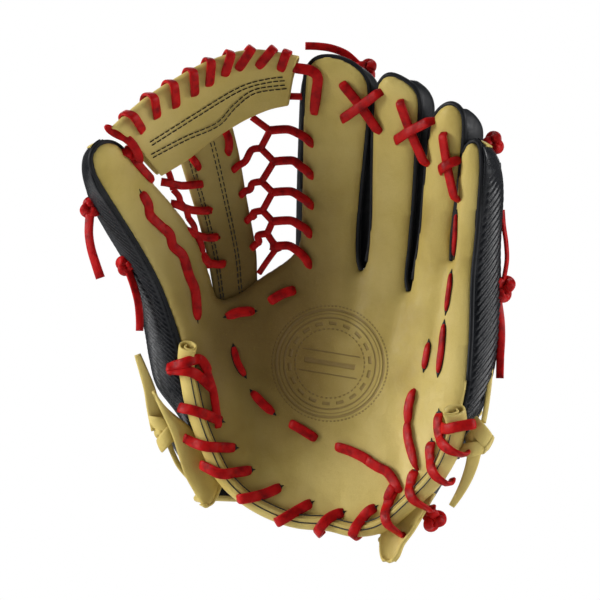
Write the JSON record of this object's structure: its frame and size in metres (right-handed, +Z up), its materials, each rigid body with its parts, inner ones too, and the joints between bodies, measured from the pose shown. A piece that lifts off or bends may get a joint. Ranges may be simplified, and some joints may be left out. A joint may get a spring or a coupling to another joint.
{
  "type": "baseball fielding glove",
  "caption": "Left-hand leather fielding glove with finger stalls, a thumb, a barred open web, black backs, rolled heel binding and rawhide laces.",
  "frame": {"origin": "middle of the wrist opening that the hand goes into", "axes": "+Z up along the fingers, -Y out of the palm towards the ball, +X from the thumb side to the little finger"},
  "size_m": [0.279, 0.1246, 0.336],
  "materials": {
    "camel_leather": "smooth oiled cowhide, camel",
    "black_leather": "black leather with a diagonal rib emboss",
    "wool_felt": "pressed wool felt",
    "lining_leather": "soft unfinished lining leather",
    "stiff_board": "stiff moulded board",
    "red_lace": "red rawhide lace, lightly glossy"
  },
  "bodies": {
    "finger_side": {"index_front": "camel_leather", "middle_front": "camel_leather", "ring_front": "camel_leather", "pinky_front": "camel_leather", "palm_leather": "camel_leather", "heel_binding": "camel_leather", "heel_lobe": "camel_leather", "pinky_wrist_tie": "camel_leather", "pinky_tie_tail": "camel_leather", "index_back": "black_leather", "middle_back": "black_leather", "ring_back": "black_leather", "pinky_back": "black_leather", "hand_back": "black_leather", "wrist_strap": "black_leather", "heel_pad": "wool_felt", "palm_lining": "lining_leather", "pinky_loop": "lining_leather", "pinky_stay": "stiff_board", "heel_lace": "red_lace", "fingertip_lace": "red_lace", "palm_lace": "red_lace", "pinky_heel_lace": "red_lace", "index_knot": "red_lace", "index_tail": "red_lace", "pinky_top_knot": "red_lace", "pinky_tail": "red_lace", "pinky_knot": "red_lace", "pinky_low_tail": "red_lace", "heel_knot": "red_lace"},
    "thumb_side": {"thumb_palm_leather": "camel_leather", "thumb_front": "camel_leather", "web_bar": "camel_leather", "web_post": "camel_leather", "thumb_heel_binding": "camel_leather", "thumb_heel_wing": "camel_leather", "thumb_wrist_tie": "camel_leather", "thumb_tie_tail": "camel_leather", "thumb_hand_back": "black_leather", "thumb_strap": "black_leather", "thumb_back": "black_leather", "thumb_pad": "wool_felt", "thumb_lining": "lining_leather", "thumb_loop": "lining_leather", "thumb_stay": "stiff_board", "web_bar_lace": "red_lace", "index_lattice_lace": "red_lace", "thumb_lattice_lace": "red_lace", "thumb_face_lace": "red_lace", "thumb_heel_lace": "red_lace", "thumb_palm_lace": "red_lace", "thumb_knot": "red_lace", "thumb_tail": "red_lace", "thumb_low_knot": "red_lace", "thumb_low_tail": "red_lace"}
  },
  "joints": [
    {"name": "pocket_fold", "type": "hinge", "parent": "finger_side", "child": "thumb_side", "pos_m": [-0.0015, -0.027, -0.015], "axis": [0, -0.0731, 0.9973], "range_deg": [0, 50]}
  ]
}
